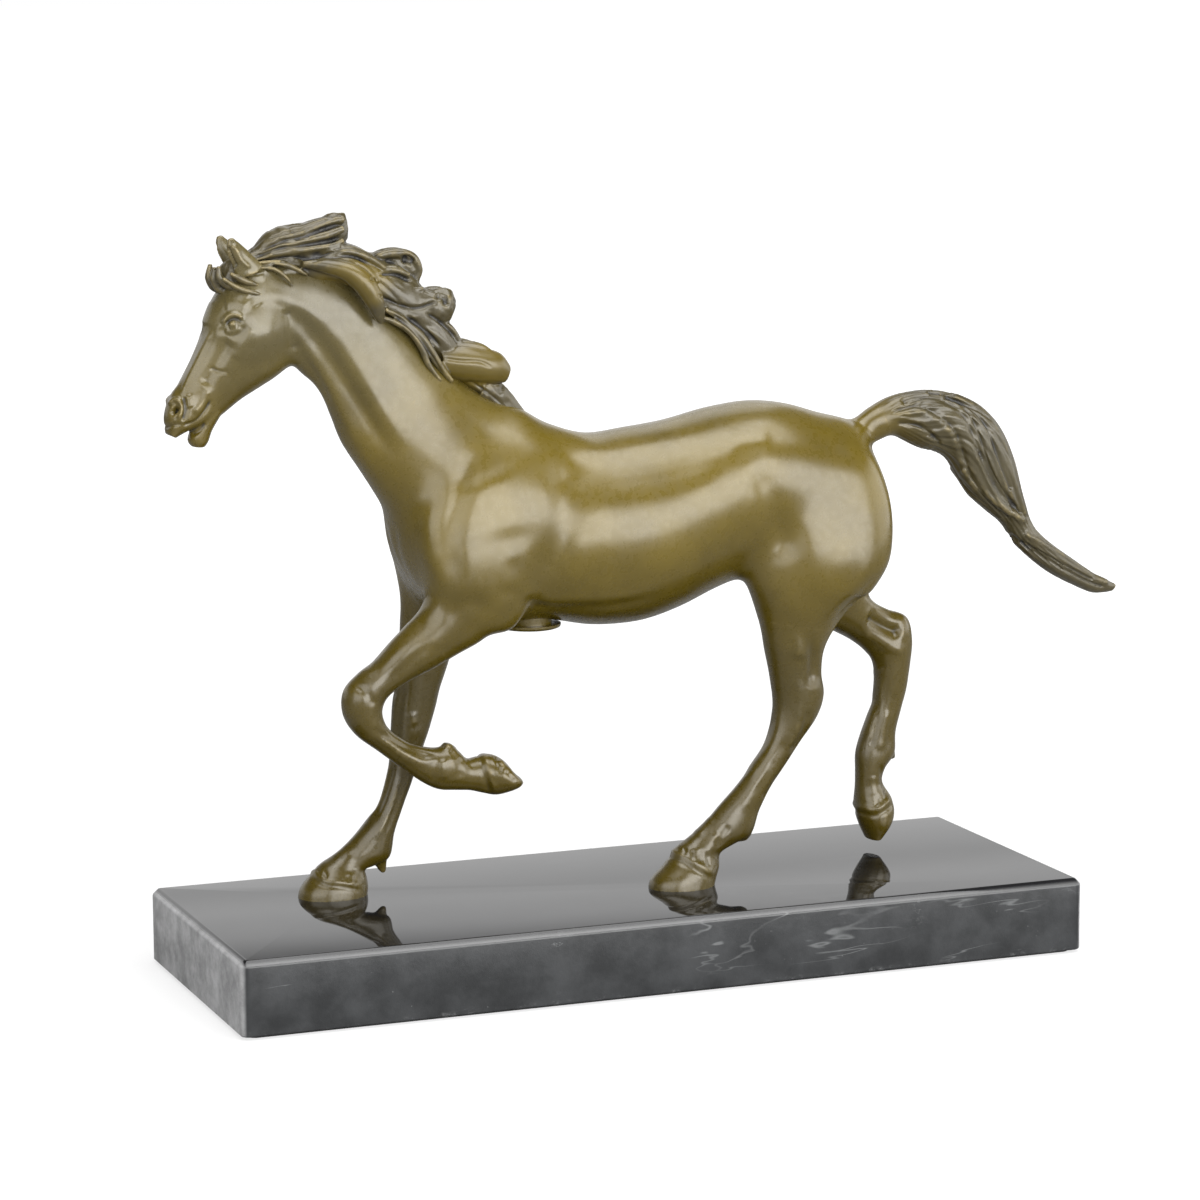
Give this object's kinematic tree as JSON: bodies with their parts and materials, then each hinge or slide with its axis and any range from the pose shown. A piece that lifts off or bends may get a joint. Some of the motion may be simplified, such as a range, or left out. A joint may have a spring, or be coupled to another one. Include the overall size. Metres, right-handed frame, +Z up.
{
  "type": "horse statue",
  "caption": "Trotting horse cast in bronze, one fore leg and one hind leg raised, standing on a flat rectangular marble base.",
  "frame": {"origin": "centre of the flat underside of the felt, where the statue rests", "axes": "+X along the base towards the tail, the horse faces -X; +Y towards the right side of the horse; +Z up"},
  "size_m": [0.3482, 0.11, 0.2573],
  "materials": {
    "bronze": "patinated, satin",
    "bronze_mane": "patinated, edges rubbed bright",
    "marble": "polished black",
    "felt": "pressed felt",
    "steel": "zinc plated"
  },
  "bodies": {
    "root": {"marble_base": "marble", "felt_sheet": "felt", "trunk_casting": "bronze", "head_and_neck_casting": "bronze", "mane_casting": "bronze_mane", "tail_casting": "bronze_mane", "foreleg_left": "bronze", "foreleg_right": "bronze", "hindleg_left": "bronze", "hindleg_right": "bronze", "core_plug": "bronze", "foreleg_left_pin": "bronze", "foreleg_right_pin": "bronze", "hindleg_left_pin": "bronze", "hindleg_right_pin": "bronze", "tail_pin": "bronze", "neck_pin_left": "bronze", "neck_pin_right": "bronze", "front_stud": "steel", "front_washer": "steel", "front_nut": "steel", "hind_stud": "steel", "hind_washer": "steel", "hind_nut": "steel"}
  },
  "joints": []
}
